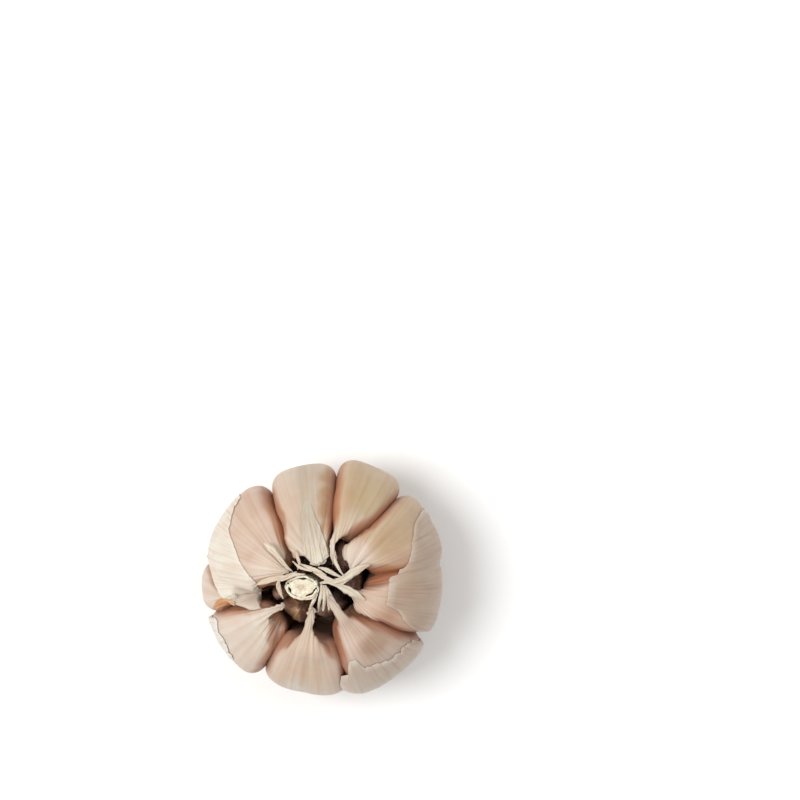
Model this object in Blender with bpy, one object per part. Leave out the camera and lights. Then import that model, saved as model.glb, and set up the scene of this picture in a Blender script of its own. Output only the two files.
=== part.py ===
# Garlic bulb: cloves packed round a short cut stem on a root plate, with the torn outer skins.
# Metres, +Z up through the neck. The origin is the middle of the underside of the root plate.
import math

import bmesh
import bpy
import numpy as np
from mathutils import Vector
from mathutils.bvhtree import BVHTree

MM = 0.001
RING_POINTS = 18
CLOVE_STEPS = 2
GAP = 0.36
PLATE_RADIUS = 7.6
PLATE_HEIGHT = 3.4
TAIL_THICKNESS = 0.9
POLE_PUSH = 0.12
SKIN_THICKNESS = 0.4
SKIN_CLEARANCE = 0.8
SKIN_CENTRE_Z = 16.0
SKIN_LOWEST = 1.3
SKIN_FEELERS = (-2.5, 0.0, 2.5)
OUTSIDE = 60.0
SKIN_STEP = 4.5
SKIN_ROWS = 11
COLOURS = {
    "clove_skin": (0.70, 0.52, 0.42, 1.0),
    "outer_skin": (0.76, 0.72, 0.66, 1.0),
    "stem": (0.74, 0.68, 0.52, 1.0),
    "root": (0.45, 0.34, 0.22, 1.0),
}

# Outer cloves. reach is the widest radius; belly, shoulder and neck are the pairs of angles
# between its neighbours at the widest place, at two thirds of it and at the tip; the tail
# is the dried end of its skin, as (x, y, height, width).
OUTER_CLOVES = {
    "clove_top": {
        "reach": 29.0, "belly": (82.2, 120.2), "shoulder": (81.2, 124.2), "neck": (79.0, 137.0),
        "tip": (9.0, 35.8), "inner": 6.6,
        "tail": [(-0.9, 8.0, 37.6, 5.6), (-0.5, 5.0, 38.2, 4.0)],
    },
    "clove_top_right": {
        "reach": 31.0, "belly": (47.7, 82.2), "shoulder": (50.0, 81.2), "neck": (62.0, 77.0),
        "tip": (13.8, 36.4), "inner": 12.4,
        "tail": [(3.2, 11.2, 37.9, 1.7), (2.7, 8.6, 38.3, 1.4), (3.4, 5.6, 38.2, 1.2)],
    },
    "clove_right_upper": {
        "reach": 30.6, "belly": (9.6, 47.7), "shoulder": (9.0, 50.0), "neck": (24.0, 60.0),
        "tip": (9.4, 36.0), "inner": 12.0,
        "tail": [(8.0, 3.3, 37.2, 2.2), (6.0, 1.5, 37.6, 1.6)],
    },
    "clove_right": {
        "reach": 29.4, "belly": (-29.2, 9.6), "shoulder": (-34.0, 9.0), "neck": (-40.0, -8.0),
        "tip": (9.8, 35.4), "inner": 11.0,
        "tail": [(7.8, -2.2, 37.2, 1.8), (5.6, -1.1, 37.5, 1.2)],
    },
    "clove_lower_right": {
        "reach": 30.2, "belly": (284.2, 330.8), "shoulder": (284.8, 326.0), "neck": (290.0, 317.0),
        "tip": (11.0, 35.6), "inner": 9.6,
        "tail": [(5.6, -8.4, 37.6, 2.4), (3.6, -5.3, 38.4, 1.8), (1.9, -2.6, 38.9, 1.3)],
    },
    "clove_bottom": {
        "reach": 29.0, "belly": (235.7, 284.2), "shoulder": (234.2, 284.8), "neck": (243.0, 272.0),
        "tip": (14.0, 36.0), "inner": 13.4,
        "tail": [(-3.4, -11.2, 37.5, 2.4), (-2.8, -8.2, 38.2, 1.9), (-1.9, -5.6, 38.4, 1.5)],
    },
    "clove_lower_left": {
        "reach": 30.6, "belly": (195.6, 235.7), "shoulder": (197.4, 234.2), "neck": (202.5, 219.0),
        "tip": (15.2, 35.2), "inner": 13.4,
        "tail": [(-13.0, -7.0, 36.9, 2.3), (-10.6, -5.7, 37.6, 1.9), (-8.8, -4.6, 37.9, 1.5)],
    },
    "clove_left": {
        "reach": 29.9, "belly": (120.2, 170.6), "shoulder": (124.2, 184.0), "neck": (138.0, 173.0),
        "tip": (11.2, 36.2), "inner": 9.6,
        "tail": [(-9.4, 3.8, 37.6, 2.2), (-7.8, 3.9, 38.2, 1.4)],
    },
}
# The side clove that sits low and outside between its two big neighbours.
SIDE_CLOVE = {
    "name": "clove_side", "reach": 30.2, "belly": (170.6, 195.6), "shoulder": (184.0, 196.4),
    "tip_angles": (185.2, 192.5), "tail": [(-23.2, -3.2, 31.2, 1.8), (-20.9, -3.3, 32.4, 1.2)],
}
# Inner cloves: angles, inner and outer radius, height of the tip and lean of the tip outward.
INNER_CLOVES = {
    "clove_inner_right": {"angles": (24.0, 74.0), "radii": (4.4, 10.9), "top": 34.0, "lean": 0.8},
    "clove_inner_east": {"angles": (-32.0, 24.0), "radii": (4.4, 9.8), "top": 31.0, "lean": 0.6},
    "clove_inner_south": {"angles": (254.0, 322.0), "radii": (4.2, 8.4), "top": 31.5, "lean": 0.4},
    "clove_inner_lower": {"angles": (205.0, 249.0), "radii": (4.6, 11.2), "top": 35.0, "lean": 0.5},
    "clove_inner_left": {"angles": (185.5, 203.0), "radii": (5.4, 11.8), "top": 34.0, "lean": 1.2},
}
# Outer skins: angle and reach from the axis of the torn upper edge, then height of the lower edge.
OUTER_SKINS = {
    "skin_left": {
        "upper": [(124.0, 28.6), (139.0, 28.4), (151.0, 25.6), (160.0, 22.8), (168.0, 20.0),
                  (177.0, 18.4), (186.0, 17.8), (196.0, 18.0), (197.5, 20.0)],
        "lower_z": 6.0, "lower": [(166.0, 29.4), (171.0, 27.6), (177.0, 26.0), (197.5, 24.6)],
    },
    "skin_right": {
        "upper": [(-28.0, 27.4), (-24.0, 23.6), (-18.5, 18.6), (-10.0, 16.4), (4.0, 16.6),
                  (10.0, 20.0), (16.0, 22.2), (26.0, 24.4), (36.0, 27.0), (44.0, 29.4)],
        "lower_z": 6.0, "lower": [],
    },
    "skin_lower_right": {
        "upper": [(279.0, 27.4), (286.0, 24.0), (294.0, 21.6), (302.0, 22.4), (311.0, 25.0),
                  (320.0, 25.6), (327.0, 27.2)],
        "lower_z": 6.0, "lower": [],
    },
    "skin_lower_left": {
        "upper": [(199.5, 28.0), (207.0, 27.6), (216.0, 27.9), (226.0, 28.4), (233.0, 29.0)],
        "lower_z": 6.0, "lower": [],
    },
}


def clear_scene():
    for item in list(bpy.data.objects):
        bpy.data.objects.remove(item, do_unlink=True)


def material(name):
    found = bpy.data.materials.get(name)
    if found:
        return found
    made = bpy.data.materials.new(name)
    made.use_nodes = True
    shader = made.node_tree.nodes["Principled BSDF"]
    shader.inputs["Base Color"].default_value = COLOURS[name]
    shader.inputs["Roughness"].default_value = 0.6
    return made


def add_object(name, bm, slot):
    bmesh.ops.recalc_face_normals(bm, faces=bm.faces)
    mesh = bpy.data.meshes.new(name)
    bm.to_mesh(mesh)
    bm.free()
    for face in mesh.polygons:
        face.use_smooth = True
    item = bpy.data.objects.new(name, mesh)
    item.data.materials.append(material(slot))
    bpy.context.scene.collection.objects.link(item)
    return item


def section_shape(square):
    """Unit rounded-square section: across (-1..1) and outward (-1..1)."""
    turn = np.arange(RING_POINTS) * 2 * math.pi / RING_POINTS
    across = np.sign(np.cos(turn)) * np.abs(np.cos(turn)) ** square
    outward = np.sign(np.sin(turn)) * np.abs(np.sin(turn)) ** square
    return across, outward


def sector_ring(outer, inner, angles, square=0.55):
    """Ring in the wedge between two angles, from an inner to an outer point (radius, height)."""
    across, outward = section_shape(square)
    share = (outward + 1) / 2
    radius = inner[0] + (outer[0] - inner[0]) * share
    height = inner[1] + (outer[1] - inner[1]) * share
    first, last = (math.radians(a) for a in angles)
    half = np.maximum((last - first) / 2 - GAP / 2 / np.maximum(radius, 1.0), 0.01)
    turn = (first + last) / 2 + half * across
    return np.stack([radius * np.cos(turn), radius * np.sin(turn), height], axis=1)


def strip_ring(point, ahead, width, thickness):
    """Ring of a flat strip that heads level towards a point further on."""
    across, outward = section_shape(0.8)
    heading = Vector((ahead[0] - point[0], ahead[1] - point[1], 0)).normalized()
    side = np.array(heading.cross(Vector((0, 0, 1))))
    centre = np.array(point[:3], float)
    up = np.array([0.0, 0.0, 1.0])
    return centre + np.outer(across * width / 2, side) + np.outer(outward * thickness / 2, up)


def loft(name, stations, slot, steps=1):
    """Closed solid through the station rings, smoothed between them, with a point at each end."""
    rings = []
    last = len(stations) - 1
    for index in range(last):
        before = stations[max(index - 1, 0)]
        start, end = stations[index], stations[index + 1]
        after = stations[min(index + 2, last)]
        for step in range(steps):
            t = step / steps
            rings.append(0.5 * (2 * start + (end - before) * t
                                + (2 * before - 5 * start + 4 * end - after) * t ** 2
                                + (3 * start - before - 3 * end + after) * t ** 3))
    rings.append(stations[last])
    bm = bmesh.new()
    rows = [[bm.verts.new(Vector(point) * MM) for point in ring] for ring in rings]
    for low, high in zip(rows, rows[1:]):
        for i in range(RING_POINTS):
            j = (i + 1) % RING_POINTS
            bm.faces.new((low[i], low[j], high[j], high[i]))
    for row, ring, beyond in ((rows[0], rings[0], rings[1]), (rows[-1], rings[-1], rings[-2])):
        middle = ring.mean(axis=0)
        push = (middle - beyond.mean(axis=0)) * POLE_PUSH
        pole = bm.verts.new(Vector(middle + push) * MM)
        for i in range(RING_POINTS):
            bm.faces.new((row[i], row[(i + 1) % RING_POINTS], pole))
    return add_object(name, bm, slot)


def tail_rings(tail):
    rings = []
    for index, (x, y, z, width) in enumerate(tail):
        if index + 1 < len(tail):
            ahead = tail[index + 1]
        else:
            ahead = (2 * x - tail[index - 1][0], 2 * y - tail[index - 1][1])
        rings.append(strip_ring((x, y, z), ahead, width, TAIL_THICKNESS))
    return rings


def between(pair, other, share):
    return tuple(a + (b - a) * share for a, b in zip(pair, other))


def outer_clove(name, spec):
    reach, inner = spec["reach"], spec["inner"]
    belly, shoulder, neck = spec["belly"], spec["shoulder"], spec["neck"]
    tip_r, tip_z = spec["tip"]
    stations = [
        sector_ring((9.6, 4.6), (6.6, 5.6), belly),
        sector_ring((13.0, 2.9), (6.2, 8.0), belly),
        sector_ring((reach * 0.72, 4.6), (inner * 0.85, 10.5), belly),
        sector_ring((reach * 0.92, 9.6), (inner * 0.94, 14.0), belly, 0.5),
        sector_ring((reach, 16.8), (inner, 18.0), belly, 0.48),
        sector_ring((reach * 0.955, 24.0), (inner, 22.5), between(belly, shoulder, 0.25), 0.5),
        sector_ring((reach * 0.84, 30.2), (inner, 27.5), between(belly, shoulder, 0.6), 0.52),
        sector_ring((reach * 0.67, 34.6), (inner, 31.5), shoulder, 0.58),
        sector_ring(((reach * 0.67 + tip_r) / 2 + 1.2, 36.8), ((inner + tip_r) / 2, tip_z - 1.8),
                    between(shoulder, neck, 0.55), 0.68),
        sector_ring((tip_r + 1.0, tip_z + 1.6), (tip_r - 0.6, tip_z), neck, 0.85),
    ]
    return loft(name, stations + tail_rings(spec["tail"]), "clove_skin", CLOVE_STEPS)


def side_clove(spec):
    reach, belly, shoulder = spec["reach"], spec["belly"], spec["shoulder"]
    low = (belly[0] + 4.0, belly[1] - 4.0)
    stations = [
        sector_ring((11.6, 4.4), (9.4, 5.4), low),
        sector_ring((17.5, 4.4), (11.5, 8.2), between(low, belly, 0.4)),
        sector_ring((25.4, 8.6), (14.5, 12.0), between(low, belly, 0.9)),
        sector_ring((reach, 15.4), (17.5, 16.8), belly),
        sector_ring((reach * 0.985, 21.0), (19.0, 20.5), between(belly, shoulder, 0.3)),
        sector_ring((reach * 0.91, 26.6), (20.2, 24.4), between(belly, shoulder, 0.8)),
        sector_ring((reach * 0.82, 29.8), (21.6, 28.0), spec["tip_angles"], 0.85),
    ]
    return loft(spec["name"], stations + tail_rings(spec["tail"]), "clove_skin", CLOVE_STEPS)


def inner_clove(name, spec):
    near, far = spec["radii"]
    angles, top, lean = spec["angles"], spec["top"], spec["lean"]
    middle = (angles[0] + angles[1]) / 2
    wide = 0.5 * (angles[1] - angles[0])
    profile = [(0.0, 0.10, 0.6, 5.0), (0.1, 0.14, 0.9, 7.0), (0.3, 0.46, 1.0, 12.0),
               (0.55, 0.85, 1.0, 18.0), (0.72, 0.98, 1.0, 24.5), (0.86, 0.92, 0.88, 29.4),
               (0.94, 0.74, 0.62, top - 1.8), (1.0, 0.58, 0.24, top)]
    stations = []
    for share, deep, full, height in profile:
        inner = near + lean * share + (far - near) * 0.45 * max(share - 0.8, 0) / 0.2
        outer = near + lean * share + (far - near) * deep
        span = (middle - wide * full, middle + wide * full)
        stations.append(sector_ring((max(outer, inner + 0.8), height), (inner, height), span, 0.62))
    return loft(name, stations, "clove_skin")


def central_stem():
    """Cut end of the flower stalk with the sheaths round it, leaning as it rises."""
    path = [(-0.4, 0.0, 4.2, 3.0, 3.0), (-0.6, 0.0, 8.0, 3.2, 3.2), (-1.4, 0.0, 18.0, 3.2, 3.2),
            (-2.6, -0.1, 28.0, 3.6, 3.2), (-3.7, -0.3, 34.0, 4.8, 3.6), (-4.4, -0.4, 37.6, 6.0, 4.2),
            (-4.5, -0.4, 39.4, 6.4, 4.4), (-4.5, -0.4, 39.8, 5.4, 3.6)]
    across, outward = section_shape(0.9)
    stations = []
    for x, y, z, wide, deep in path:
        stations.append(np.stack([x + across * wide / 2, y + outward * deep / 2,
                                  np.full(RING_POINTS, z)], axis=1))
    return loft("central_stem", stations, "stem")


def root_plate():
    bm = bmesh.new()
    bmesh.ops.create_cone(bm, cap_ends=True, segments=32, radius1=PLATE_RADIUS * MM,
                          radius2=(PLATE_RADIUS - 2.4) * MM, depth=PLATE_HEIGHT * MM)
    bmesh.ops.translate(bm, verts=bm.verts, vec=(0, 0, PLATE_HEIGHT * MM / 2))
    rim = [edge for edge in bm.edges if len({round(v.co.z, 5) for v in edge.verts}) == 1]
    bmesh.ops.bevel(bm, geom=rim, offset=0.7 * MM, segments=2, profile=0.5, affect="EDGES")
    return add_object("root_plate", bm, "root")


def clove_tree(items):
    """One search tree over the surfaces of the cloves, in millimetres."""
    points, faces = [], []
    for item in items:
        start = len(points)
        points += [vertex.co / MM for vertex in item.data.vertices]
        faces += [[start + i for i in face.vertices] for face in item.data.polygons]
    return BVHTree.FromPolygons(points, faces)


def surface_distance(tree, azimuth, elevation):
    """Distance of the outermost clove surface from the middle of the bulb in one direction."""
    centre = Vector((0, 0, SKIN_CENTRE_Z))
    found = 0.0
    for turn in SKIN_FEELERS:
        about = azimuth + math.radians(turn)
        ray = Vector((math.cos(about) * math.cos(elevation),
                      math.sin(about) * math.cos(elevation), math.sin(elevation)))
        hit = tree.ray_cast(centre + ray * OUTSIDE, -ray)
        if hit[0] is not None:
            found = max(found, OUTSIDE - hit[3])
    return found


def upper_elevation(tree, azimuth, reach):
    """Elevation where the surface is this far from the axis, seen from above."""
    for elevation in np.radians(np.arange(2.0, 62.0, 0.5)):
        if surface_distance(tree, azimuth, elevation) * math.cos(elevation) <= reach:
            return elevation
    return math.radians(60.0)


def lower_elevation(tree, azimuth, height):
    """Elevation where the surface is down at this height."""
    for elevation in np.radians(np.arange(-10.0, -62.0, -0.5)):
        distance = surface_distance(tree, azimuth, elevation)
        if SKIN_CENTRE_Z + distance * math.sin(elevation) <= height:
            return elevation
    return math.radians(-50.0)


def widened(field):
    """Largest value among each point and its neighbours, then averaged, so grooves are bridged."""
    padded = np.pad(field, 1, mode="edge")
    rows, columns = field.shape
    around = [padded[i:i + rows, j:j + columns] for i in range(3) for j in range(3)]
    return np.max(around, axis=0)


def outer_skin(name, spec, tree):
    """Thin torn sheet over the cloves: a grid laid on them, bridged over the grooves."""
    angles = np.array([a for a, _ in spec["upper"]])
    reaches = np.array([r for _, r in spec["upper"]])
    columns = int((angles[-1] - angles[0]) / SKIN_STEP) + 2
    rows = SKIN_ROWS
    azimuths = np.linspace(angles[0], angles[-1], columns)
    turns = np.zeros((rows, columns))
    tilts = np.zeros((rows, columns))
    distances = np.zeros((rows, columns))
    for j, azimuth in enumerate(np.radians(azimuths)):
        top = upper_elevation(tree, azimuth, np.interp(azimuths[j], angles, reaches))
        bottom = lower_elevation(tree, azimuth, spec["lower_z"])
        if spec["lower"] and azimuths[j] > spec["lower"][0][0]:
            lower_angles, lower_reaches = zip(*spec["lower"])
            reach = np.interp(azimuths[j], lower_angles, lower_reaches)
            bottom = upper_elevation(tree, azimuth, reach)
        for i, elevation in enumerate(np.linspace(bottom, top, rows)):
            turns[i, j], tilts[i, j] = azimuth, elevation
            distances[i, j] = surface_distance(tree, azimuth, elevation)
    inner = widened(distances) + SKIN_CLEARANCE
    bm = bmesh.new()
    layers = []
    lowest = SKIN_LOWEST + SKIN_THICKNESS
    for extra in (0.0, SKIN_THICKNESS):
        reach = inner + extra
        grid = np.stack([reach * np.cos(turns) * np.cos(tilts),
                         reach * np.sin(turns) * np.cos(tilts),
                         np.maximum(SKIN_CENTRE_Z + reach * np.sin(tilts), lowest - extra)],
                        axis=2)
        layers.append([[bm.verts.new(Vector(p) * MM) for p in row] for row in grid])
    low, high = layers
    for i in range(rows - 1):
        for j in range(columns - 1):
            for layer in (low, high):
                bm.faces.new((layer[i][j], layer[i][j + 1], layer[i + 1][j + 1], layer[i + 1][j]))
    border = [(0, j) for j in range(columns)] + [(i, columns - 1) for i in range(1, rows)]
    border += [(rows - 1, j) for j in range(columns - 2, -1, -1)]
    border += [(i, 0) for i in range(rows - 2, 0, -1)]
    for (i, j), (k, m) in zip(border, border[1:] + border[:1]):
        bm.faces.new((low[i][j], low[k][m], high[k][m], high[i][j]))
    return add_object(name, bm, "outer_skin")


def build():
    clear_scene()
    root_plate()
    central_stem()
    cloves = [outer_clove(name, spec) for name, spec in OUTER_CLOVES.items()]
    cloves.append(side_clove(SIDE_CLOVE))
    for name, spec in INNER_CLOVES.items():
        inner_clove(name, spec)
    tree = clove_tree(cloves)
    for name, spec in OUTER_SKINS.items():
        outer_skin(name, spec, tree)


build()
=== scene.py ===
import math
import random

import bpy
import numpy as np
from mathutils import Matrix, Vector, noise
from mathutils.bvhtree import BVHTree


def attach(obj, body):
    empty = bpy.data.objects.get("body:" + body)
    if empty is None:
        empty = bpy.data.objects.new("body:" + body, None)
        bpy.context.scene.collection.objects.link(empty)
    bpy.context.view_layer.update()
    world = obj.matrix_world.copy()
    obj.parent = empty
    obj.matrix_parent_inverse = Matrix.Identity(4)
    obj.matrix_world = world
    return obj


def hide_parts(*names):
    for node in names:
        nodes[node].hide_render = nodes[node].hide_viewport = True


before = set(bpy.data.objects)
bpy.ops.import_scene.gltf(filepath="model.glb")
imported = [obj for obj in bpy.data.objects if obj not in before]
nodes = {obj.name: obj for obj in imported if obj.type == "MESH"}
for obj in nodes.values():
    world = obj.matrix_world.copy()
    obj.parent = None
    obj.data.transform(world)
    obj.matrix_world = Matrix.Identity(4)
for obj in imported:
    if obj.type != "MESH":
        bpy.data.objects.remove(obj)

# Garlic bulb: plump cloves round a short cut stem, with torn papery skins over them.
bpy.ops.object.select_all(action="DESELECT")
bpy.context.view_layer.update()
mm = 0.001
print("frame loaded,", len(nodes), "nodes")


# Helpers that every piece uses.

def hexColour(text):
    # sRGB hex to the linear values that shaders read
    values = [int(text[i:i + 2], 16) / 255 for i in (0, 2, 4)]
    return [v / 12.92 if v <= 0.04045 else ((v + 0.055) / 1.055) ** 2.4 for v in values]


def opaque(text):
    return (*hexColour(text), 1)


def smoothStep(low, high, value):
    t = np.clip((np.asarray(value, float) - low) / (high - low), 0, 1)
    return t * t * (3 - 2 * t)


def readPoints(piece):
    points = np.empty(len(piece.data.vertices) * 3)
    piece.data.vertices.foreach_get("co", points)
    return points.reshape(-1, 3) / mm


def writePoints(piece, points):
    piece.data.vertices.foreach_set("co", (points * mm).ravel())
    piece.data.update()


def readNormals(piece):
    normals = np.empty(len(piece.data.vertices) * 3)
    piece.data.vertices.foreach_get("normal", normals)
    return normals.reshape(-1, 3)


def noiseAt(vectors, seed=0.0):
    # Perlin noise for each row of vectors, about -1 to 1
    return np.array([noise.noise(Vector(v) + Vector((seed, seed * 0.7, -seed))) for v in vectors])


def setAttribute(piece, name, kind, values):
    layer = piece.data.attributes.new(name, kind, "POINT")
    values = np.asarray(values, np.float32)
    if kind == "FLOAT_COLOR":
        values = np.hstack([values, np.ones((len(values), 1), np.float32)])
    layer.data.foreach_set("color" if kind == "FLOAT_COLOR" else "vector", values.ravel())


def activate(piece):
    bpy.ops.object.select_all(action="DESELECT")
    piece.select_set(True)
    bpy.context.view_layer.objects.active = piece


def applyModifier(piece, kind, **settings):
    activate(piece)
    modifier = piece.modifiers.new(kind.title(), kind)
    for key, value in settings.items():
        setattr(modifier, key, value)
    bpy.ops.object.modifier_apply(modifier=modifier.name)


# Materials.

def addNode(tree, kind, settings=None, links=None, stops=()):
    # adds one node with its settings, its links (input name or number -> (node, output))
    # and, for a colour ramp, its stops as (place, grey value or hex)
    node = tree.nodes.new(kind)
    for key, value in (settings or {}).items():
        if isinstance(key, int) or key in node.inputs:
            node.inputs[key].default_value = value
        else:
            setattr(node, key, value)
    for key, (source, output) in (links or {}).items():
        tree.links.new(source.outputs[output], node.inputs[key])
    for index, (place, value) in enumerate(stops):
        elements = node.color_ramp.elements
        element = elements[index] if index < len(elements) else elements.new(place)
        element.position = place
        element.color = opaque(value) if isinstance(value, str) else (value, value, value, 1)
    return node


# Ways of mixing two colours in a mix node, whose inputs are 0 amount, 6 first, 7 second.
blend = {"data_type": "RGBA", "blend_type": "MIX"}
multiply = {"data_type": "RGBA", "blend_type": "MULTIPLY"}
screen = {"data_type": "RGBA", "blend_type": "SCREEN"}


def newMaterial(name, shaderSettings):
    material = bpy.data.materials.new(name)
    material.use_nodes = True
    tree = material.node_tree
    shader = tree.nodes["Principled BSDF"]
    for key, value in shaderSettings.items():
        shader.inputs[key].default_value = value
    return material, tree, shader


# Dry clove skin: a tough parchment leaf over wet flesh. It gives a satin, slightly waxy
# look with fine lengthwise veins, paler and pinker between them.
def makeCloveSkin():
    material, tree, shader = newMaterial("dry clove skin over flesh", {
        "Roughness": 0.48, "IOR": 1.42, "Sheen Weight": 0.06, "Sheen Roughness": 0.4,
        "Subsurface Weight": 0.12, "Subsurface Scale": 0.002,
        "Subsurface Radius": (1.0, 0.6, 0.4),
    })
    painted = addNode(tree, "ShaderNodeAttribute", {"attribute_name": "paint"})
    veins = addNode(tree, "ShaderNodeAttribute", {"attribute_name": "veins"})
    where = addNode(tree, "ShaderNodeTexCoord")
    # fine veins about 0.5 mm apart, then wider bands about 2 mm apart
    fine = addNode(tree, "ShaderNodeTexNoise", {"Scale": 1.0, "Detail": 3.0, "Roughness": 0.6},
                   {"Vector": (veins, "Vector")})
    wideMap = addNode(tree, "ShaderNodeMapping", {"Scale": (0.3, 0.3, 0.5)},
                      {"Vector": (veins, "Vector")})
    wide = addNode(tree, "ShaderNodeTexNoise", {"Scale": 1.0, "Detail": 2.0},
                   {"Vector": (wideMap, "Vector")})
    # pink mottling in patches of about 6 mm
    mottle = addNode(tree, "ShaderNodeTexNoise", {"Scale": 160.0, "Detail": 4.0},
                     {"Vector": (where, "Object")})
    fineRamp = addNode(tree, "ShaderNodeValToRGB", {}, {0: (fine, 0)}, [(0.36, 0.0), (0.64, 1.0)])
    wideRamp = addNode(tree, "ShaderNodeValToRGB", {}, {0: (wide, 0)}, [(0.38, 0.0), (0.62, 1.0)])
    mottleRamp = addNode(tree, "ShaderNodeValToRGB", {}, {0: (mottle, 0)}, [(0.35, 0.0), (0.7, 1.0)])
    darker = addNode(tree, "ShaderNodeMix", {**multiply, 0: 0.34, 7: opaque("DDC0A6")},
                     {6: (painted, "Color")})
    streaked = addNode(tree, "ShaderNodeMix", blend,
                       {0: (fineRamp, 0), 6: (darker, 2), 7: (painted, "Color")})
    lighter = addNode(tree, "ShaderNodeMix", {**screen, 0: 0.16, 7: opaque("D8CCC4")},
                      {6: (streaked, 2)})
    banded = addNode(tree, "ShaderNodeMix", blend,
                     {0: (wideRamp, 0), 6: (streaked, 2), 7: (lighter, 2)})
    rosy = addNode(tree, "ShaderNodeMix", {**multiply, 0: 0.26, 7: opaque("EFCDBF")},
                   {6: (banded, 2)})
    final = addNode(tree, "ShaderNodeMix", blend,
                    {0: (mottleRamp, 0), 6: (banded, 2), 7: (rosy, 2)})
    tree.links.new(final.outputs[2], shader.inputs["Base Color"])
    grain = addNode(tree, "ShaderNodeTexNoise", {"Scale": 900.0, "Detail": 3.0},
                    {"Vector": (where, "Object")})
    bumpFine = addNode(tree, "ShaderNodeBump", {"Strength": 0.30, "Distance": 0.00025},
                       {"Height": (fine, 0)})
    bumpWide = addNode(tree, "ShaderNodeBump", {"Strength": 0.30, "Distance": 0.0006},
                       {"Height": (wide, 0), "Normal": (bumpFine, 0)})
    bumpGrain = addNode(tree, "ShaderNodeBump", {"Strength": 0.10, "Distance": 0.0001},
                        {"Height": (grain, 0), "Normal": (bumpWide, 0)})
    tree.links.new(bumpGrain.outputs[0], shader.inputs["Normal"])
    gloss = addNode(tree, "ShaderNodeMapRange", {"To Min": 0.40, "To Max": 0.58}, {0: (wide, 0)})
    tree.links.new(gloss.outputs[0], shader.inputs["Roughness"])
    return material


cloveSkin = makeCloveSkin()
print("materials made")


# Cloves.

# Paint spots on each clove: (x, y, radius in mm, colour, strength), laid on in order.
# wrinkle is the depth of the folds that gather at the tip, in mm.
cloves = {
    "clove_top": {
        "base": "DCC8B4", "flankBrownAndShade": "C08D62", "wrinkle": 0.35,
        "spots": [(-9, 22, 6, "E0CBB8", 0.8), (-3.5, 26, 4.5, "D0C5B2", 0.9),
                  (-3, 21, 4, "D0C5B2", 0.9), (-2.6, 16, 3.2, "D0C5B2", 0.9),
                  (1.6, 26, 2.6, "BC8F58", 0.8), (1.6, 22, 2.6, "B98A55", 0.8),
                  (1.5, 18, 2.5, "B98A55", 0.8), (1.4, 14, 2.2, "BE925E", 0.8)],
    },
    "clove_top_right": {
        "base": "D6C0A0", "flankBrownAndShade": "C48C66", "wrinkle": 0.3,
        "spots": [(4.5, 20, 2.5, "DDB49B", 0.7), (12, 21, 5, "CDB78E", 0.7), (8, 16, 3, "E0D2BE", 0.7)],
    },
    "clove_right_upper": {
        "base": "D3B895", "flankBrownAndShade": "C08A68", "wrinkle": 0.4,
        "spots": [(9, 7, 4, "E9D5CB", 0.9), (15, 11, 4, "CDB187", 0.6), (19, 6, 3, "C9A087", 0.6)],
    },
    "clove_right": {
        "base": "DDC0AC", "flankBrownAndShade": "B8805E", "wrinkle": 0.45,
        "spots": [(10, -4, 4, "E6C3AD", 0.7), (15, -8, 4, "CE9E83", 0.6)],
    },
    "clove_lower_right": {
        "base": "D9C3B2", "flankBrownAndShade": "B9805C", "wrinkle": 0.4,
        "spots": [(8, -15, 3.5, "E8D4C8", 0.8), (13, -15, 4, "BFA088", 0.8), (18, -20, 5, "D5CBC2", 0.6)],
    },
    "clove_bottom": {
        "base": "DFCBB8", "flankBrownAndShade": "B27A50", "wrinkle": 0.45,
        "spots": [(-9, -20, 5, "E8D6C8", 0.8), (-3, -22, 5, "DCC6AF", 0.7), (-6, -27, 4, "E2DCD3", 0.7)],
    },
    "clove_lower_left": {
        "base": "E6D8CA", "flankBrownAndShade": "C08A64", "wrinkle": 0.4,
        "spots": [(-19, -13, 7, "EBE3D8", 0.8), (-21, -8, 4, "E8D2C4", 0.6)],
    },
    "clove_left": {
        "base": "DFC8B6", "flankBrownAndShade": "C48F64", "wrinkle": 0.45,
        "spots": [(-16, 12, 6, "E2CDBC", 0.8), (-10, 4, 4, "CFA274", 0.8), (-15, 20, 4, "D6B39C", 0.6)],
    },
    "clove_side": {
        "base": "E6D8CB", "flankBrownAndShade": "C69464", "wrinkle": 0.25, "spots": [],
    },
    # Inner cloves sit in shadow inside the bulb: their base and flank browns are darkened with painted shade
    # for it.
    "clove_inner_right": {"base": "9C6A44", "flankBrownAndShade": "7C4C2E", "wrinkle": 0.2, "spots": []},
    "clove_inner_east": {"base": "845534", "flankBrownAndShade": "693F25", "wrinkle": 0.2, "spots": []},
    "clove_inner_south": {"base": "7E4F30", "flankBrownAndShade": "643B22", "wrinkle": 0.2, "spots": []},
    "clove_inner_lower": {"base": "C79E70", "flankBrownAndShade": "A06F44", "wrinkle": 0.2, "spots": []},
    "clove_inner_left": {"base": "AE8060", "flankBrownAndShade": "8A5A3C", "wrinkle": 0.2, "spots": []},
}


# What all the cloves share: how far they swell past the CAD shape, in mm, how they are
# toned down, how the brown of a flank (partly painted shade) is warmed, and the cream of a dried tail.
cloveLook = {"plump": 0.62, "tone": [0.79, 0.775, 0.745], "flankTone": [0.9, 0.74, 0.6],
             "tail": "EFE6D8", "tailShare": 0.8, "innerTailShare": 0.1}


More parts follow.
